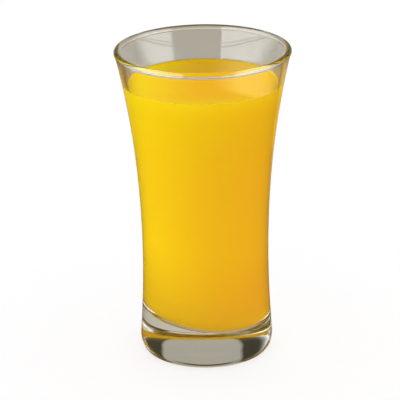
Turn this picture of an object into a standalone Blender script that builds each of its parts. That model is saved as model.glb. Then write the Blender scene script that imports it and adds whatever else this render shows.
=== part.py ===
"""A flared long-drink glass with a heavy foot, filled with orange juice.

Metres, +Z up. The origin is the middle of the foot, on the surface that the glass stands on.
Two solids: the glass, and the juice up to its level, with a thin gap between them.
"""

import math

import bmesh
import bpy

# Outside of the glass. Its wall is one sweep in and out: foot, waist, mouth.
GLASS_HEIGHT = 0.1452
MOUTH_RADIUS = 0.0403
WAIST_RADIUS = 0.0292
WAIST_HEIGHT = 0.046
FOOT_RADIUS = 0.0315
FLARE_POWER = 2.1
FOOT_POWER = 1.9

# Rounded edge under the wall, and the shallow hollow under the foot.
FOOT_EDGE_WIDTH = 0.0042
FOOT_EDGE_HEIGHT = 0.0075
HOLLOW_RADIUS = 0.022
HOLLOW_DEPTH = 0.0010

# Wall and inside. The lip is a round bead, a little thicker than the wall that carries it.
LIP_RADIUS = 0.00145
LIP_MIDDLE = GLASS_HEIGHT - LIP_RADIUS
WALL_AT_LIP = 0.0022
WALL_AT_FLOOR = 0.0034
BRIM_RADIUS = MOUTH_RADIUS - LIP_RADIUS + WALL_AT_LIP / 2
FLOOR_HEIGHT = 0.0151
FLOOR_CORNER = 0.0090
# The floor inside isn't level: it is higher towards -X, as in many blown glasses.
FLOOR_SLOPE = 0.130
SLOPE_FADES_OVER = 0.040

# Juice. It creeps up the wall in a small meniscus.
DRINK_LEVEL = 0.1286
MENISCUS_RISE = 0.0013
MENISCUS_REACH = 0.0011
GAP = 0.0003

# How finely the turned shapes are cut.
SEGMENTS = 64
WALL_STEPS = 14
DRINK_WALL_STEPS = 10
EDGE_STEPS = 6
CORNER_STEPS = 6
LIP_STEPS = 4
MERGE_DISTANCE = 1e-6

GLASS_LOOK = {
    "Base Color": (0.96, 0.97, 0.95, 1.0),
    "Roughness": 0.02,
    "Metallic": 0.0,
    "IOR": 1.52,
    "Transmission Weight": 1.0,
}
DRINK_LOOK = {
    "Base Color": (0.87, 0.48, 0.02, 1.0),
    "Roughness": 0.12,
    "Metallic": 0.0,
}


def clear_scene():
    for obj in list(bpy.data.objects):
        bpy.data.objects.remove(obj, do_unlink=True)


def blend_up(share):
    """0 below 0, 1 above 1, and an even S between."""
    share = min(max(share, 0.0), 1.0)
    return share * share * (3 - 2 * share)


def outer_radius(z):
    """The wall's outside at height z: narrowest at the waist, widest where the lip's middle is."""
    if z >= WAIST_HEIGHT:
        share = (z - WAIST_HEIGHT) / (LIP_MIDDLE - WAIST_HEIGHT)
        return WAIST_RADIUS + (BRIM_RADIUS - WAIST_RADIUS) * share**FLARE_POWER
    share = (WAIST_HEIGHT - z) / WAIST_HEIGHT
    return WAIST_RADIUS + (FOOT_RADIUS - WAIST_RADIUS) * share**FOOT_POWER


def wall_thickness(z):
    """Thickest at the floor and thinnest under the lip."""
    share = (z - FLOOR_HEIGHT) / (LIP_MIDDLE - FLOOR_HEIGHT)
    return WALL_AT_FLOOR + (WALL_AT_LIP - WALL_AT_FLOOR) * share


def inner_radius(z):
    return outer_radius(z) - wall_thickness(z)


def steps(start, end, count):
    """count + 1 even values from start to end."""
    return [start + (end - start) * i / count for i in range(count + 1)]


def underside():
    """The shallow hollow from the axis outwards, then the flat ring that the glass stands on."""
    dish = [(r, HOLLOW_DEPTH * (1 - (r / HOLLOW_RADIUS) ** 2)) for r in steps(0.0, HOLLOW_RADIUS, 4)]
    return dish + [(FOOT_RADIUS - FOOT_EDGE_WIDTH, 0.0)]


def foot_edge():
    """The quarter ellipse from the ring up to the wall."""
    wall = outer_radius(FOOT_EDGE_HEIGHT)
    width = wall - (FOOT_RADIUS - FOOT_EDGE_WIDTH)
    angles = steps(0.0, math.pi / 2, EDGE_STEPS)[1:]
    return [
        (wall - width * (1 - math.sin(a)), FOOT_EDGE_HEIGHT * (1 - math.cos(a)))
        for a in angles
    ]


def lip():
    """The bead, from where it leaves the wall outside, over the top, to where it meets it inside."""
    lean = math.atan(FLARE_POWER * (BRIM_RADIUS - WAIST_RADIUS) / (LIP_MIDDLE - WAIST_HEIGHT))
    bulge = math.acos(WALL_AT_LIP / 2 / LIP_RADIUS)
    below = steps(-lean - bulge, 0.0, LIP_STEPS // 2)[:-1]
    widest_to_top = steps(0.0, math.pi / 2, LIP_STEPS)
    top_to_inside = steps(math.pi / 2, math.pi - lean + bulge, LIP_STEPS)[1:]
    middle_radius = MOUTH_RADIUS - LIP_RADIUS
    return [
        (middle_radius + LIP_RADIUS * math.cos(a), LIP_MIDDLE + LIP_RADIUS * math.sin(a))
        for a in below + widest_to_top + top_to_inside
    ]


def bowl_corner(inset):
    """The round corner between the wall and the floor, taken in by inset, from the wall down."""
    radius = FLOOR_CORNER - inset
    middle_height = FLOOR_HEIGHT + FLOOR_CORNER
    middle_radius = inner_radius(middle_height) - FLOOR_CORNER
    return [
        (middle_radius + radius * math.cos(a), middle_height - radius * math.sin(a))
        for a in steps(0.0, math.pi / 2, CORNER_STEPS)
    ]


def bowl_floor(inset):
    """The floor's two inner rings and its middle, from the corner inwards."""
    edge = bowl_corner(inset)[-1][0]
    return [(r, FLOOR_HEIGHT + inset) for r in steps(edge, 0.0, 3)[1:]]


def glass_profile():
    """The glass's half section, from the axis underneath, up the outside and down the inside."""
    bead = lip()
    outside = [(outer_radius(z), z) for z in steps(FOOT_EDGE_HEIGHT, bead[0][1], WALL_STEPS)[1:-1]]
    inside = [
        (inner_radius(z), z)
        for z in steps(bead[-1][1], FLOOR_HEIGHT + FLOOR_CORNER, WALL_STEPS)[1:-1]
    ]
    return underside() + foot_edge() + outside + bead + inside + bowl_corner(0.0) + bowl_floor(0.0)


def drink_surface():
    """The juice's top, from the axis out to the wall, where the meniscus rises."""
    wall = inner_radius(DRINK_LEVEL + MENISCUS_RISE) - GAP
    near_wall = [wall - MENISCUS_REACH * distance for distance in (4.0, 2.0, 1.0, 0.4, 0.0)]
    flat = steps(0.0, near_wall[0], 2)[:-1]
    return [
        (r, DRINK_LEVEL + MENISCUS_RISE * math.exp((r - wall) / MENISCUS_REACH))
        for r in flat + near_wall
    ]


def drink_profile():
    """The juice's half section, from the axis on top, out to the wall and down to the floor."""
    wall = [
        (inner_radius(z) - GAP, z)
        for z in steps(DRINK_LEVEL + MENISCUS_RISE, FLOOR_HEIGHT + FLOOR_CORNER, DRINK_WALL_STEPS)[1:-1]
    ]
    return drink_surface() + wall + bowl_corner(GAP) + bowl_floor(GAP)


def slope_floor(vert):
    """Raises a point of the bowl on the -X side and lowers it on the +X side, less the higher it is."""
    fade = 1 - blend_up((vert.co.z - FLOOR_HEIGHT - GAP) / SLOPE_FADES_OVER)
    vert.co.z -= FLOOR_SLOPE * vert.co.x * fade


def turned_mesh(name, profile):
    """A closed mesh: the half section, whose ends are on the axis, turned once round Z."""
    work = bmesh.new()
    points = [work.verts.new((r, 0.0, z)) for r, z in profile]
    edges = [work.edges.new(pair) for pair in zip(points, points[1:])]
    bmesh.ops.spin(
        work,
        geom=points + edges,
        cent=(0.0, 0.0, 0.0),
        axis=(0.0, 0.0, 1.0),
        angle=2 * math.pi,
        steps=SEGMENTS,
        use_merge=True,
    )
    bmesh.ops.remove_doubles(work, verts=work.verts, dist=MERGE_DISTANCE)
    bmesh.ops.recalc_face_normals(work, faces=work.faces)
    mesh = bpy.data.meshes.new(name)
    work.to_mesh(mesh)
    work.free()
    return mesh


def is_in_bowl(vert):
    """True for the glass's inside: above the floor, and nearer the axis than mid wall."""
    z = vert.co.z
    above_floor = z >= FLOOR_HEIGHT - MERGE_DISTANCE
    return above_floor and math.hypot(vert.co.x, vert.co.y) < outer_radius(z) - wall_thickness(z) / 2


def add_object(name, mesh, material):
    obj = bpy.data.objects.new(name, mesh)
    bpy.context.scene.collection.objects.link(obj)
    mesh.materials.append(material)
    mesh.shade_smooth()
    return obj


def shaded(name, look):
    """A material whose Principled BSDF has these values."""
    material = bpy.data.materials.new(name)
    material.use_nodes = True
    shader = material.node_tree.nodes["Principled BSDF"]
    for socket, value in look.items():
        shader.inputs[socket].default_value = value
    return material


def build_glass():
    mesh = turned_mesh("glass", glass_profile())
    for vert in mesh.vertices:
        if is_in_bowl(vert):
            slope_floor(vert)
    return add_object("glass", mesh, shaded("clear_glass", GLASS_LOOK))


def build_drink():
    mesh = turned_mesh("orange_juice", drink_profile())
    for vert in mesh.vertices:
        slope_floor(vert)
    return add_object("orange_juice", mesh, shaded("orange_juice", DRINK_LOOK))


def main():
    clear_scene()
    build_glass()
    build_drink()


main()
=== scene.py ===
"""The looks of a glass of orange juice: clear glass, cloudy juice, a pale floor and studio light."""

import math

import bmesh
import bpy
from mathutils import Matrix, Vector


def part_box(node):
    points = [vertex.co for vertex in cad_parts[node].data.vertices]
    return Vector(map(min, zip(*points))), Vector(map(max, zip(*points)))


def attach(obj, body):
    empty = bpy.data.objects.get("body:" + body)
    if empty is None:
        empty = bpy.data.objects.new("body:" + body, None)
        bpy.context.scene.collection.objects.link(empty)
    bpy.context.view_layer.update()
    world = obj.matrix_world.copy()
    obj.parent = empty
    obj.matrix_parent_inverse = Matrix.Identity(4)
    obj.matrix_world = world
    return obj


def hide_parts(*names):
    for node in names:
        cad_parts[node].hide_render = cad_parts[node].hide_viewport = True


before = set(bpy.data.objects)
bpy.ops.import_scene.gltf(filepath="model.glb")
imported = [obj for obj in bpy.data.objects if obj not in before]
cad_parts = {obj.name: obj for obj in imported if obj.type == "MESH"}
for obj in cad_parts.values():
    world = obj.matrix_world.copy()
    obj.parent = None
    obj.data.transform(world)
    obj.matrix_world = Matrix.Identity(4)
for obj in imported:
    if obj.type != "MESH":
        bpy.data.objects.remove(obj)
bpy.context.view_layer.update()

GLASS_LOW, GLASS_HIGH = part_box("glass")
DRINK_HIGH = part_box("orange_juice")[1]

# Outside of the glass, as in the frame.
GLASS_HEIGHT = GLASS_HIGH.z
MOUTH_RADIUS = GLASS_HIGH.x
WAIST_RADIUS = 0.0292
WAIST_HEIGHT = 0.046
FOOT_RADIUS = 0.0315
FLARE_POWER = 2.1
FOOT_POWER = 1.9
FOOT_EDGE_WIDTH = 0.0042
FOOT_EDGE_HEIGHT = 0.0075
HOLLOW_RADIUS = 0.022
HOLLOW_DEPTH = 0.0010

# Wall and inside. The lip is a round bead, a little thicker than the wall that carries it.
LIP_RADIUS = 0.00145
LIP_MIDDLE = GLASS_HEIGHT - LIP_RADIUS
WALL_AT_LIP = 0.0022
WALL_AT_FLOOR = 0.0034
BRIM_RADIUS = MOUTH_RADIUS - LIP_RADIUS + WALL_AT_LIP / 2
FLOOR_HEIGHT = 0.0151
FLOOR_CORNER = 0.0090
# The floor inside isn't level: it is higher towards -X.
FLOOR_SLOPE = 0.130
SLOPE_FADES_OVER = 0.040

# Juice: it reaches into the wall, so that no air shows between them.
MENISCUS_RISE = 0.0013
MENISCUS_REACH = 0.0011
MENISCUS_REACHES = 5.0
DRINK_LEVEL = DRINK_HIGH.z - MENISCUS_RISE
INTO_WALL = 0.00015

# Clear glass, with a faint tint and slight waves in its surface.
GLASS_IOR = 1.52
GLASS_TINT = (0.75, 0.85, 0.60)
GLASS_DENSITY = 2.0
GLASS_WAVES_PER_METRE = 80.0
GLASS_WAVE_STRETCH = (1.0, 1.0, 0.3)
GLASS_WAVE_DEPTH = 0.00003
GLASS_WAVE_DETAIL = 1.0

# Juice against the wall, with painted light and shade: its top is painted lighter, as by light soaking in
# from above, and painted shade darkens its bottom, more on the left. The heights are those over which its
# top and its bottom pass into its body.
JUICE_IOR = 1.34
JUICE_LIT_TOP = (0.957, 0.612, 0.014)
JUICE_BODY = (0.968, 0.582, 0.022)
JUICE_SHADED_BOTTOM_LEFT = (0.76, 0.395, 0.03)
JUICE_SHADED_BOTTOM_RIGHT = (0.88, 0.465, 0.03)
JUICE_BOTTOM_HEIGHT = 0.045
JUICE_TOP_HEIGHT = 0.045
JUICE_CLOUDS = (1.0, 0.72, 0.06)
CLOUDS_PER_METRE = 45.0
CLOUDS_SHARE = 0.06
# The share of the light glancing along the wall that the juice mirrors.
GLANCING_SHARE = 0.93

# The juice's open surface, with painted light: lighter and more lemon on the left, where the light comes
# from, and lighter at the front.
# A painted patch of light fades in from its middle and out towards its right edge, and it ends at the front
# left along a diagonal.
SURFACE_LIT_LEFT = (0.570, 0.358, 0.0)
SURFACE_MIDDLE = (0.480, 0.216, 0.0)
SURFACE_LIT_FRONT = (0.495, 0.276, 0.0)
SURFACE_FRONT_WIDTH = 0.020
SURFACE_LIGHT_PATCH = (0.565, 0.288, 0.037)
PATCH_FADES_IN = (0.003, 0.019)
PATCH_FADES_OUT = (0.041, 0.026)
PATCH_DIAGONAL = (-0.004, 0.005)
SURFACE_IOR_LEVEL = 0.05
# Where the juice climbs the wall, its colour is painted: a painted highlight in front and painted darkness
# behind, which stands in for the dark room that the climbing juice reflects.
MENISCUS_PAINTED_LIGHT_IN_FRONT = (0.80, 0.50, 0.10)
MENISCUS_PAINTED_DARK_BEHIND = (0.30, 0.23, 0.08)
MENISCUS_PAINT_FROM = 0.0004

# Directions along which the juice's colour changes.
RIGHTWARDS = (1.0, 0.0, 0.0)
BACKWARDS = (0.0, 1.0, 0.0)
UPWARDS = (0.0, 0.0, 1.0)
RIGHTWARDS_AND_BACKWARDS = (1.0, 1.0, 0.0)

# How finely the turned shapes are cut.
SEGMENTS = 192
WALL_STEPS = 72
EDGE_STEPS = 16
CORNER_STEPS = 16
LIP_STEPS = 8
DISH_STEPS = 10
MENISCUS_STEPS = 20
# Close rings below the lip's bead and beside the juice's top edge keep the shading there crisp.
BESIDE_BEAD = (0.0001, 0.0003, 0.0007)
BESIDE_EDGE = 0.00004
MERGE_DISTANCE = 1e-6
LEAST_UPWARD_NORMAL = 0.3

# Studio. Matt surfaces are lit softly, mostly from the left and from above, and hardly from behind.
# What the glass shows of it is a dim brown room with a grey backdrop and white softboxes.
FLOOR_DROP = 0.0002
FLOOR_SIZE = 12.0
STAGE_WHITE = (0.93, 0.93, 0.93)
FLOOR_WHITE = (0.22, 0.185, 0.31)
FLOOR_GLOW = (0.70, 0.70, 0.70)
LIGHT_FROM_LEFT = (3.15, 4.5, 1.0)
LIGHT_FROM_RIGHT = (2.36, 2.26, 2.2)
LIGHT_FROM_FRONT = 0.7
LIGHT_FROM_BEHIND = 0.05
OPEN_LIGHT = (1.40, 1.65, 1.0)
LIGHT_FROM_BELOW = 0.15
LIGHT_FROM_ABOVE = 1.1
# Each row has an axis of the light's direction, two values on that axis, and the shares at both.
LEFT_TO_RIGHT = ("X", -1.0, 0.3, 0.0, 1.0)
LIGHT_SHARES = (
    ("Z", -1.0, 1.0, LIGHT_FROM_BELOW, LIGHT_FROM_ABOVE),
    ("Y", -1.0, 0.0, LIGHT_FROM_FRONT, 1.0),
    ("Y", 0.3, 0.9, 1.0, LIGHT_FROM_BEHIND),
)
ROOM = (0.05, 0.045, 0.03)
FLOOR_IN_GLASS = (0.07, 0.055, 0.03)
SWEEP = (0.45, 0.42, 0.35)
SOFTBOX = (3.1, 3.1, 3.1)
ALL_ROUND = (0, 360)
SWEEP_AZIMUTHS = (147, 204)
HARD = (0, 0)

# Cards that only the glass shows. Each has a name, its azimuths and elevations in degrees, its distance,
# its light, and the shares of it over which its edges fade out, across and up.
CURVED_CARDS = (
    ("backdrop", SWEEP_AZIMUTHS, (15, 55), 1.2, (0.42, 0.39, 0.33), (0.06, 0.06), HARD),
    ("skirting", (152, 208), (0, 12), 1.2, (0.78, 0.70, 0.58), (0.12, 0.12), HARD),
    ("softbox_left", (-140, -27), (0, 58), 1.5, SOFTBOX, (0.5, 0), (0.1, 0.2)),
    ("softbox_right", (40, 120), (0, 34), 1.5, SOFTBOX, (0.1, 0.5), (0.2, 0)),
)

# Such cards on the floor, with radii in place of elevations and distance.
FLOOR_CARDS = (
    ("sweep", SWEEP_AZIMUTHS, (0.15, 1.2), SWEEP, (0.06, 0.06), (0.15, 0)),
    ("sweep_far", SWEEP_AZIMUTHS, (0.65, 1.19), (0.66, 0.58, 0.45), (0.06, 0.06), (0.2, 0)),
    ("sweep_near", (90, 192), (0.031, 0.05), (0.57, 0.53, 0.43), HARD, HARD),
    ("sweep_in_front", (-33, 22), (0.35, 1.2), SWEEP, (0.1, 0.1), (0.1, 0.1)),
    ("under", ALL_ROUND, (0.0, 0.026), (0.45, 0.42, 0.34), HARD, HARD),
    ("gold_left", (195, 225), (0.25, 0.50), (0.38, 0.21, 0.06), (0.1, 0.1), (0.1, 0.1)),
    ("gold_right", (138, 165), (0.25, 0.42), (0.72, 0.42, 0.05), (0.1, 0.1), (0.1, 0.1)),
)
CARD_STEPS = 32

# Camera: a long lens, a little above the glass. Angles are in radians, and the sensor in millimetres.
FRAME_PIXELS = 400
SENSOR_WIDTH = 36.0
FOCAL_PIXELS = 2400
CAMERA_DISTANCE = 1.1078
CAMERA_ELEVATION = 0.3506
CAMERA_PAN = 0.0020
CAMERA_TILT = 0.0004
CAMERA_ROLL = -0.0148
NEAREST_SEEN = 0.05

# How often light may bounce. The foot alone bends and reflects it a dozen times.
LESS_THAN_ONCE = 0.5
ALL_BOUNCES = 24
MATT_BOUNCES = 12
MIRROR_BOUNCES = 16
GLASS_BOUNCES = 24


def blend_up(share):
    """0 below 0, 1 above 1, and an even S between."""
    share = min(max(share, 0.0), 1.0)
    return share * share * (3 - 2 * share)


def steps(start, end, count):
    """count + 1 even values from start to end."""
    return [start + (end - start) * i / count for i in range(count + 1)]


def outer_radius(z):
    """The wall's outside at height z: narrowest at the waist, widest where the lip's middle is."""
    if z >= WAIST_HEIGHT:
        share = (z - WAIST_HEIGHT) / (LIP_MIDDLE - WAIST_HEIGHT)
        return WAIST_RADIUS + (BRIM_RADIUS - WAIST_RADIUS) * share**FLARE_POWER
    share = (WAIST_HEIGHT - z) / WAIST_HEIGHT
    return WAIST_RADIUS + (FOOT_RADIUS - WAIST_RADIUS) * share**FOOT_POWER


def inner_radius(z):
    """The wall's inside: the wall is thickest at the floor and thinnest under the lip."""
    share = (z - FLOOR_HEIGHT) / (LIP_MIDDLE - FLOOR_HEIGHT)
    return outer_radius(z) - WALL_AT_FLOOR - (WALL_AT_LIP - WALL_AT_FLOOR) * share


def underside():
    """The shallow hollow from the axis outwards, and the flat ring round it."""
    radii = steps(0.0, HOLLOW_RADIUS, DISH_STEPS)
    dish = [(r, HOLLOW_DEPTH * (1 - (r / HOLLOW_RADIUS) ** 2)) for r in radii]
    return dish + [(FOOT_RADIUS - FOOT_EDGE_WIDTH, 0.0)]


def foot_edge():
    """The quarter ellipse from the ring up to the wall."""
    wall = outer_radius(FOOT_EDGE_HEIGHT)
    width = wall - (FOOT_RADIUS - FOOT_EDGE_WIDTH)
    return [
        (wall - width * (1 - math.sin(a)), FOOT_EDGE_HEIGHT * (1 - math.cos(a)))
        for a in steps(0.0, math.pi / 2, EDGE_STEPS)[1:]
    ]


def lip():
    """The bead, from where it leaves the wall outside, over the top, to where it meets it inside."""
    lean = math.atan(FLARE_POWER * (BRIM_RADIUS - WAIST_RADIUS) / (LIP_MIDDLE - WAIST_HEIGHT))
    bulge = math.acos(WALL_AT_LIP / 2 / LIP_RADIUS)
    below = steps(-lean - bulge, 0.0, LIP_STEPS // 2)[:-1]
    widest_to_top = steps(0.0, math.pi / 2, LIP_STEPS)
    top_to_inside = steps(math.pi / 2, math.pi - lean + bulge, LIP_STEPS + LIP_STEPS // 2)[1:]
    middle_radius = MOUTH_RADIUS - LIP_RADIUS
    return [
        (middle_radius + LIP_RADIUS * math.cos(a), LIP_MIDDLE + LIP_RADIUS * math.sin(a))
        for a in below + widest_to_top + top_to_inside
    ]


def bowl_corner(inset):
    """The round corner between the wall and the floor, taken in by inset, from the wall down."""
    radius = FLOOR_CORNER - inset
    middle_height = FLOOR_HEIGHT + FLOOR_CORNER
    middle_radius = inner_radius(middle_height) - FLOOR_CORNER
    return [
        (middle_radius + radius * math.cos(a), middle_height - radius * math.sin(a))
        for a in steps(0.0, math.pi / 2, CORNER_STEPS)
    ]


def bowl_floor(inset):
    """The flat floor inside, raised by inset, from the corner in to the axis."""
    edge = bowl_corner(inset)[-1][0]
    return [(r, FLOOR_HEIGHT + inset) for r in steps(edge, 0.0, DISH_STEPS)[1:]]


def glass_profile():
    """The glass's half section, from the axis underneath, up the outside and down the inside."""
    bead = lip()
    under_bead = [bead[0][1] - down for down in reversed(BESIDE_BEAD)]
    inside_bead = [bead[-1][1] - down for down in BESIDE_BEAD]
    outside = steps(FOOT_EDGE_HEIGHT, under_bead[0], WALL_STEPS)[1:-1] + under_bead
    inside = inside_bead + steps(inside_bead[-1], FLOOR_HEIGHT + FLOOR_CORNER, WALL_STEPS)[1:-1]
    return (
        underside() + foot_edge() + [(outer_radius(z), z) for z in outside] + bead
        + [(inner_radius(z), z) for z in inside] + bowl_corner(0.0) + bowl_floor(0.0)
    )


def drink_surface():
    """The juice's top, from the axis out to the wall, where the meniscus rises."""
    wall = inner_radius(DRINK_LEVEL + MENISCUS_RISE) + INTO_WALL
    near_wall = steps(wall - MENISCUS_REACHES * MENISCUS_REACH, wall, MENISCUS_STEPS)
    near_wall.insert(-1, wall - BESIDE_EDGE)
    flat = steps(0.0, near_wall[0], DISH_STEPS)[:-1]
    return [
        (r, DRINK_LEVEL + MENISCUS_RISE * math.exp((r - wall) / MENISCUS_REACH))
        for r in flat + near_wall
    ]


def drink_side():
    """From the juice's top edge, down the wall and over the floor to the axis."""
    top = DRINK_LEVEL + MENISCUS_RISE
    heights = [top - BESIDE_EDGE] + steps(top, FLOOR_HEIGHT + FLOOR_CORNER, WALL_STEPS)[1:-1]
    wall = [(inner_radius(z) + INTO_WALL, z) for z in heights]
    return wall + bowl_corner(-INTO_WALL) + bowl_floor(-INTO_WALL)


def slope_floor(vert):
    """Raises a point of the bowl on the -X side and lowers it on the +X side, less the higher it is."""
    fade = 1 - blend_up((vert.co.z - FLOOR_HEIGHT) / SLOPE_FADES_OVER)
    vert.co.z -= FLOOR_SLOPE * vert.co.x * fade


def turned_mesh(name, profile):
    """A closed mesh: the half section, whose ends are on the axis, turned once round Z."""
    work = bmesh.new()
    points = [work.verts.new((r, 0.0, z)) for r, z in profile]
    edges = [work.edges.new(pair) for pair in zip(points, points[1:])]
    bmesh.ops.spin(
        work,
        geom=points + edges,
        cent=(0.0, 0.0, 0.0),
        axis=(0.0, 0.0, 1.0),
        angle=2 * math.pi,
        steps=SEGMENTS,
        use_merge=True,
    )
    bmesh.ops.remove_doubles(work, verts=work.verts, dist=MERGE_DISTANCE)
    bmesh.ops.recalc_face_normals(work, faces=work.faces)
    mesh = bpy.data.meshes.new(name)
    work.to_mesh(mesh)
    work.free()
    mesh.shade_smooth()
    return mesh


def is_in_bowl(vert):
    """True for the glass's inside: above the floor, and nearer the axis than mid wall."""
    z = vert.co.z
    above_floor = z >= FLOOR_HEIGHT - MERGE_DISTANCE
    return above_floor and math.hypot(vert.co.x, vert.co.y) < (outer_radius(z) + inner_radius(z)) / 2


def add_object(name, mesh):
    obj = bpy.data.objects.new(name, mesh)
    bpy.context.scene.collection.objects.link(obj)
    return obj


def new_material(name):
    """A node material, its tree and its Principled BSDF."""
    material = bpy.data.materials.new(name)
    material.use_nodes = True
    return material, material.node_tree, material.node_tree.nodes["Principled BSDF"]


def glass_material():
    """Clear glass with a faint tint and slight waves in its surface."""
    material, tree, shader = new_material("clear_glass")
    shader.inputs["Base Color"].default_value = (1.0, 1.0, 1.0, 1.0)
    shader.inputs["Roughness"].default_value = 0.0
    shader.inputs["IOR"].default_value = GLASS_IOR
    shader.inputs["Transmission Weight"].default_value = 1.0
    coordinates = tree.nodes.new("ShaderNodeTexCoord")
    stretch = tree.nodes.new("ShaderNodeMapping")
    stretch.inputs["Scale"].default_value = GLASS_WAVE_STRETCH
    noise = tree.nodes.new("ShaderNodeTexNoise")
    noise.inputs["Scale"].default_value = GLASS_WAVES_PER_METRE
    noise.inputs["Detail"].default_value = GLASS_WAVE_DETAIL
    bump = tree.nodes.new("ShaderNodeBump")
    bump.inputs["Strength"].default_value = 1.0
    bump.inputs["Distance"].default_value = GLASS_WAVE_DEPTH
    tree.links.new(coordinates.outputs["Object"], stretch.inputs["Vector"])
    tree.links.new(stretch.outputs["Vector"], noise.inputs["Vector"])
    tree.links.new(noise.outputs["Fac"], bump.inputs["Height"])
    tree.links.new(bump.outputs["Normal"], shader.inputs["Normal"])
    absorption = tree.nodes.new("ShaderNodeVolumeAbsorption")
    absorption.inputs["Color"].default_value = (*GLASS_TINT, 1.0)
    absorption.inputs["Density"].default_value = GLASS_DENSITY
    tree.links.new(absorption.outputs["Volume"], tree.nodes["Material Output"].inputs["Volume"])
    return material


def ramp_along(tree, direction, low, high):
    """A node output that goes smoothly from 0 to 1 between two places along a direction of the object."""
    coordinates = tree.nodes.new("ShaderNodeTexCoord")
    place = tree.nodes.new("ShaderNodeVectorMath")
    place.operation = "DOT_PRODUCT"
    place.inputs[1].default_value = direction
    tree.links.new(coordinates.outputs["Object"], place.inputs[0])
    ramp = tree.nodes.new("ShaderNodeMapRange")
    ramp.interpolation_type = "SMOOTHSTEP"
    ramp.inputs["From Min"].default_value = low
    ramp.inputs["From Max"].default_value = high
    tree.links.new(place.outputs["Value"], ramp.inputs["Value"])
    return ramp.outputs[0]


def multiply(tree, one, other):
    """A node output: the product of two node outputs, or of one and a number."""
    product = tree.nodes.new("ShaderNodeMath")
    product.operation = "MULTIPLY"
    for socket, value in zip(product.inputs, (one, other)):
        if isinstance(value, float):
            socket.default_value = value
        else:
            tree.links.new(value, socket)
    return product.outputs[0]


def clouds(tree):
    """A low share that varies softly from place to place, as pulp does in the juice."""
    coordinates = tree.nodes.new("ShaderNodeTexCoord")
    noise = tree.nodes.new("ShaderNodeTexNoise")
    noise.inputs["Scale"].default_value = CLOUDS_PER_METRE
    tree.links.new(coordinates.outputs["Object"], noise.inputs["Vector"])
    return multiply(tree, noise.outputs["Fac"], CLOUDS_SHARE)


def side_material():
    """The juice against the wall, painted lighter near its top and with painted shade towards its bottom.
    Light that glances along the wall hardly gets into it.
    """
    material, tree, juice = new_material("juice_side")
    juice.inputs["Specular IOR Level"].default_value = 0.0
    juice.inputs["Roughness"].default_value = 1.0
    # Painted light and shade: lighter towards the top, darker towards the bottom, more so on the left.
    above_floor = ramp_along(tree, UPWARDS, FLOOR_HEIGHT, FLOOR_HEIGHT + JUICE_BOTTOM_HEIGHT)
    near_top = ramp_along(tree, UPWARDS, DRINK_LEVEL - JUICE_TOP_HEIGHT, DRINK_LEVEL)
    from_left = ramp_along(tree, RIGHTWARDS, -inner_radius(FLOOR_HEIGHT), 0.0)
    bottom = mix_colours(tree, from_left, JUICE_SHADED_BOTTOM_LEFT, JUICE_SHADED_BOTTOM_RIGHT)
    colour = mix_colours(tree, above_floor, bottom, JUICE_BODY)
    colour = mix_colours(tree, near_top, colour, JUICE_LIT_TOP)
    colour = mix_colours(tree, clouds(tree), colour, JUICE_CLOUDS)
    tree.links.new(colour, juice.inputs["Base Color"])
    mirror = tree.nodes.new("ShaderNodeBsdfGlossy")
    mirror.inputs["Roughness"].default_value = 0.0
    glancing = tree.nodes.new("ShaderNodeFresnel")
    glancing.inputs["IOR"].default_value = JUICE_IOR / GLASS_IOR
    share = multiply(tree, glancing.outputs[0], GLANCING_SHARE)
    side = mix_shaders(tree, share, juice.outputs[0], mirror.outputs[0])
    tree.links.new(side, tree.nodes["Material Output"].inputs["Surface"])
    return material


def surface_material():
    """The juice's top, with painted light: lighter and lemon on the left and lighter at the front, a
    painted patch of light on the right, and where it climbs the wall a painted highlight in front and
    painted darkness behind.
    """
    material, tree, juice = new_material("juice_surface")
    juice.inputs["Roughness"].default_value = 0.0
    juice.inputs["IOR"].default_value = JUICE_IOR
    juice.inputs["Specular IOR Level"].default_value = SURFACE_IOR_LEVEL
    wall = inner_radius(DRINK_LEVEL)
    # Painted light: lighter and more lemon on the left, and lighter at the front.
    from_left = ramp_along(tree, RIGHTWARDS, -wall, 0.0)
    from_front = ramp_along(tree, BACKWARDS, -wall, SURFACE_FRONT_WIDTH - wall)
    middle = mix_colours(tree, from_front, SURFACE_LIT_FRONT, SURFACE_MIDDLE)
    colour = mix_colours(tree, from_left, SURFACE_LIT_LEFT, middle)
    # A painted patch of light on the right of the surface.
    fades_in = ramp_along(tree, RIGHTWARDS, *PATCH_FADES_IN)
    fades_out = ramp_along(tree, RIGHTWARDS, *PATCH_FADES_OUT)
    patch = multiply(tree, fades_in, fades_out)
    patch = multiply(tree, patch, ramp_along(tree, RIGHTWARDS_AND_BACKWARDS, *PATCH_DIAGONAL))
    colour = mix_colours(tree, patch, colour, SURFACE_LIGHT_PATCH)
    colour = mix_colours(tree, clouds(tree), colour, JUICE_CLOUDS)
    # Where the juice climbs the wall: a painted highlight in front and painted darkness behind.
    meniscus_paint = ramp_along(tree, UPWARDS, DRINK_LEVEL + MENISCUS_PAINT_FROM, DRINK_LEVEL + MENISCUS_RISE)
    meniscus_paint_colour = mix_colours(tree, ramp_along(tree, BACKWARDS, 0.0, wall), MENISCUS_PAINTED_LIGHT_IN_FRONT, MENISCUS_PAINTED_DARK_BEHIND)
    tree.links.new(mix_colours(tree, meniscus_paint, colour, meniscus_paint_colour), juice.inputs["Base Color"])
    return material


def build_glass():
    """The glass: its half section turned, and then the bowl's floor tilted."""
    mesh = turned_mesh("glass_fine", glass_profile())
    for vert in mesh.vertices:
        if is_in_bowl(vert):
            slope_floor(vert)
    mesh.materials.append(glass_material())
    glass = add_object("glass_fine", mesh)
    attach(glass, "root")
    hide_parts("glass")


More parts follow.
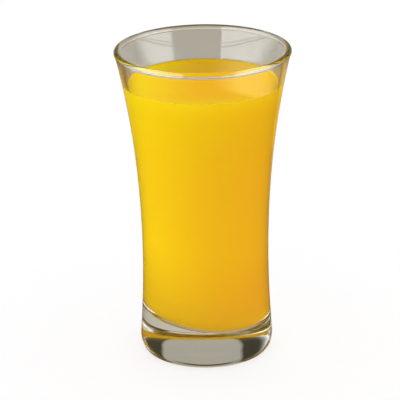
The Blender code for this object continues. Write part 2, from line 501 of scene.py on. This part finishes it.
def build_juice():
    """The juice: its half section turned and tilted as the bowl is, with a material of its own on top."""
    mesh = turned_mesh("juice_fine", drink_surface() + drink_side())
    for vert in mesh.vertices:
        slope_floor(vert)
    mesh.materials.append(side_material())
    mesh.materials.append(surface_material())
    rim_height = DRINK_LEVEL - MERGE_DISTANCE
    for face in mesh.polygons:
        on_top = all(mesh.vertices[i].co.z >= rim_height for i in face.vertices)
        if on_top and face.normal.z > LEAST_UPWARD_NORMAL:
            face.material_index = 1
    juice = add_object("juice_fine", mesh)
    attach(juice, "root")
    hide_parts("orange_juice")


def mix_colours(tree, share, off, on):
    """A node output that is one colour where share is 0 and another where it is 1."""
    mix = tree.nodes.new("ShaderNodeMix")
    mix.data_type = "RGBA"
    tree.links.new(share, mix.inputs[0])
    for socket, colour in ((mix.inputs[6], off), (mix.inputs[7], on)):
        if isinstance(colour, tuple):
            socket.default_value = (*colour, 1.0)
        else:
            tree.links.new(colour, socket)
    return mix.outputs[2]


def mix_shaders(tree, share, off, on):
    mix = tree.nodes.new("ShaderNodeMixShader")
    tree.links.new(share, mix.inputs[0])
    tree.links.new(off, mix.inputs[1])
    tree.links.new(on, mix.inputs[2])
    return mix.outputs[0]


def seen_by(tree):
    """Node outputs that are 1 for the camera, for light on matt surfaces, and for light through glass."""
    rays = tree.nodes.new("ShaderNodeLightPath")
    happened = []
    for count in ("Diffuse Depth", "Transmission Depth"):
        once = tree.nodes.new("ShaderNodeMath")
        once.operation = "GREATER_THAN"
        once.inputs[1].default_value = LESS_THAN_ONCE
        tree.links.new(rays.outputs[count], once.inputs[0])
        happened.append(once.outputs[0])
    return rays.outputs["Is Camera Ray"], *happened


def stage_tree(name):
    """A material for the stage, without shaders. Rays find its light by chance alone."""
    material = bpy.data.materials.new(name)
    material.use_nodes = True
    material.cycles.emission_sampling = "NONE"
    material.node_tree.nodes.clear()
    return material, material.node_tree


def glow(tree, colour):
    light = tree.nodes.new("ShaderNodeEmission")
    light.inputs["Color"].default_value = (*colour, 1.0)
    return light.outputs[0]


def finish_material(tree, surface):
    out = tree.nodes.new("ShaderNodeOutputMaterial")
    tree.links.new(surface, out.inputs["Surface"])


def floor_material():
    """White and matt for the camera, dim in the glass, and clear to the light on matt surfaces."""
    material, tree = stage_tree("floor")
    camera, on_matt, _ = seen_by(tree)
    white = tree.nodes.new("ShaderNodeBsdfDiffuse")
    white.inputs["Color"].default_value = (*FLOOR_WHITE, 1.0)
    lit = tree.nodes.new("ShaderNodeAddShader")
    tree.links.new(white.outputs[0], lit.inputs[0])
    tree.links.new(glow(tree, FLOOR_GLOW), lit.inputs[1])
    clear = tree.nodes.new("ShaderNodeBsdfTransparent")
    unseen = mix_shaders(tree, on_matt, glow(tree, FLOOR_IN_GLASS), clear.outputs[0])
    finish_material(tree, mix_shaders(tree, camera, unseen, lit.outputs[0]))
    return material


def card_material(name, colour):
    """Shines in what the glass shows, as far as the card hasn't faded out. Clear to matt surfaces."""
    material, tree = stage_tree(name)
    on_matt = seen_by(tree)[1]
    clear = tree.nodes.new("ShaderNodeBsdfTransparent")
    fade = tree.nodes.new("ShaderNodeAttribute")
    fade.attribute_name = "fade"
    shown = mix_shaders(tree, fade.outputs["Fac"], clear.outputs[0], glow(tree, colour))
    finish_material(tree, mix_shaders(tree, on_matt, shown, clear.outputs[0]))
    return material


def add_floor():
    bpy.ops.mesh.primitive_plane_add(size=FLOOR_SIZE, location=(0, 0, GLASS_LOW.z - FLOOR_DROP))
    floor = bpy.context.object
    floor.name = "floor"
    floor.data.materials.append(floor_material())


def towards(azimuth, elevation, distance):
    """A place round the glass: azimuth 0 is the camera's side, positive to the camera's right."""
    a, e = math.radians(azimuth), math.radians(elevation)
    flat = distance * math.cos(e)
    return Vector((flat * math.sin(a), -flat * math.cos(a), distance * math.sin(e)))


def rise(share, first, last):
    """How far a card shows: it fades in over a share of first and out over a share of last, if any."""
    start = blend_up(share / first) if first else 1.0
    end = blend_up((1 - share) / last) if last else 1.0
    return start * end


def add_card(name, place, across, up, colour, soft_across, soft_up):
    """A bent card that only the glass shows. place gives its points from an across and an up value.

    The soft pairs are the shares of the card over which its first and last edges fade out.
    """
    work = bmesh.new()
    fades = []
    columns = []
    for s in steps(0.0, 1.0, CARD_STEPS):
        column = []
        for t in steps(0.0, 1.0, CARD_STEPS):
            spot = place(across[0] + (across[1] - across[0]) * s, up[0] + (up[1] - up[0]) * t)
            column.append(work.verts.new(spot))
            fades.append(rise(s, *soft_across) * rise(t, *soft_up))
        columns.append(column)
    for left, right in zip(columns, columns[1:]):
        for k in range(CARD_STEPS):
            work.faces.new((left[k], left[k + 1], right[k + 1], right[k]))
    mesh = bpy.data.meshes.new(name)
    work.to_mesh(mesh)
    work.free()
    mesh.attributes.new("fade", "FLOAT", "POINT").data.foreach_set("value", fades)
    mesh.materials.append(card_material(name, colour))
    card = add_object(name, mesh)
    card.visible_camera = False


def curved_card(name, azimuths, elevations, distance, colour, soft_across, soft_up):
    """A piece of a sphere round the glass."""
    add_card(name, lambda a, e: towards(a, e, distance), azimuths, elevations, colour, soft_across, soft_up)


def floor_card(name, azimuths, radii, colour, soft_across, soft_up):
    """A piece of a flat ring on the floor round the glass."""
    lift = Vector((0.0, 0.0, GLASS_LOW.z - FLOOR_DROP / 2))
    add_card(name, lambda a, r: towards(a, 0.0, r) + lift, azimuths, radii, colour, soft_across, soft_up)


def light_share(tree, axis, start, end, low, high):
    """A node output that goes from low to high between two values of one axis of a direction."""
    coordinates = tree.nodes.new("ShaderNodeTexCoord")
    direction = tree.nodes.new("ShaderNodeSeparateXYZ")
    tree.links.new(coordinates.outputs["Generated"], direction.inputs[0])
    share = tree.nodes.new("ShaderNodeMapRange")
    share.inputs["From Min"].default_value = start
    share.inputs["From Max"].default_value = end
    share.inputs["To Min"].default_value = low
    share.inputs["To Max"].default_value = high
    tree.links.new(direction.outputs[axis], share.inputs["Value"])
    return share.outputs[0]


def set_world():
    """White for the camera, dim in the glass, and a light that leans to the left on matt surfaces."""
    world = bpy.data.worlds.new("studio")
    bpy.context.scene.world = world
    world.use_nodes = True
    world.cycles.sampling_method = "NONE"
    tree = world.node_tree
    light = mix_colours(tree, light_share(tree, *LEFT_TO_RIGHT), LIGHT_FROM_LEFT, LIGHT_FROM_RIGHT)
    for row in LIGHT_SHARES:
        scale = tree.nodes.new("ShaderNodeVectorMath")
        scale.operation = "SCALE"
        tree.links.new(light, scale.inputs[0])
        tree.links.new(light_share(tree, *row), scale.inputs["Scale"])
        light = scale.outputs[0]
    camera, on_matt, through_glass = seen_by(tree)
    light_on_matt = mix_colours(tree, through_glass, OPEN_LIGHT, light)
    unseen = mix_colours(tree, on_matt, ROOM, light_on_matt)
    colour = mix_colours(tree, camera, unseen, STAGE_WHITE)
    tree.links.new(colour, tree.nodes["Background"].inputs["Color"])


def add_camera():
    """Looks down at the middle of the glass from in front, turned a little as the photo's camera was."""
    target = Vector((0.0, 0.0, GLASS_HEIGHT / 2))
    back = Vector((0.0, -math.cos(CAMERA_ELEVATION), math.sin(CAMERA_ELEVATION)))
    up = Vector((0.0, math.sin(CAMERA_ELEVATION), math.cos(CAMERA_ELEVATION)))
    level = Matrix((Vector((1.0, 0.0, 0.0)), up, back)).transposed()
    roll = Matrix.Rotation(CAMERA_ROLL, 3, "Z")
    pan = Matrix.Rotation(CAMERA_PAN, 3, "Y")
    tilt = Matrix.Rotation(-CAMERA_TILT, 3, "X")
    data = bpy.data.cameras.new("camera")
    data.sensor_width = SENSOR_WIDTH
    data.lens = SENSOR_WIDTH * FOCAL_PIXELS / FRAME_PIXELS
    data.clip_start = NEAREST_SEEN
    camera = bpy.data.objects.new("camera", data)
    camera.matrix_world = (level @ roll @ pan @ tilt).to_4x4()
    camera.location = target + back * CAMERA_DISTANCE
    bpy.context.scene.collection.objects.link(camera)
    bpy.context.scene.camera = camera


def set_render():
    """Colours as they are, and enough bounces of light for thick glass. Reflections aren't blurred."""
    scene = bpy.context.scene
    scene.view_settings.view_transform = "Standard"
    scene.cycles.max_bounces = ALL_BOUNCES
    scene.cycles.diffuse_bounces = MATT_BOUNCES
    scene.cycles.glossy_bounces = MIRROR_BOUNCES
    scene.cycles.transmission_bounces = GLASS_BOUNCES
    scene.cycles.blur_glossy = 0.0


build_glass()
build_juice()
add_floor()
for card in CURVED_CARDS:
    curved_card(*card)
for card in FLOOR_CARDS:
    floor_card(*card)
set_world()
add_camera()
set_render()
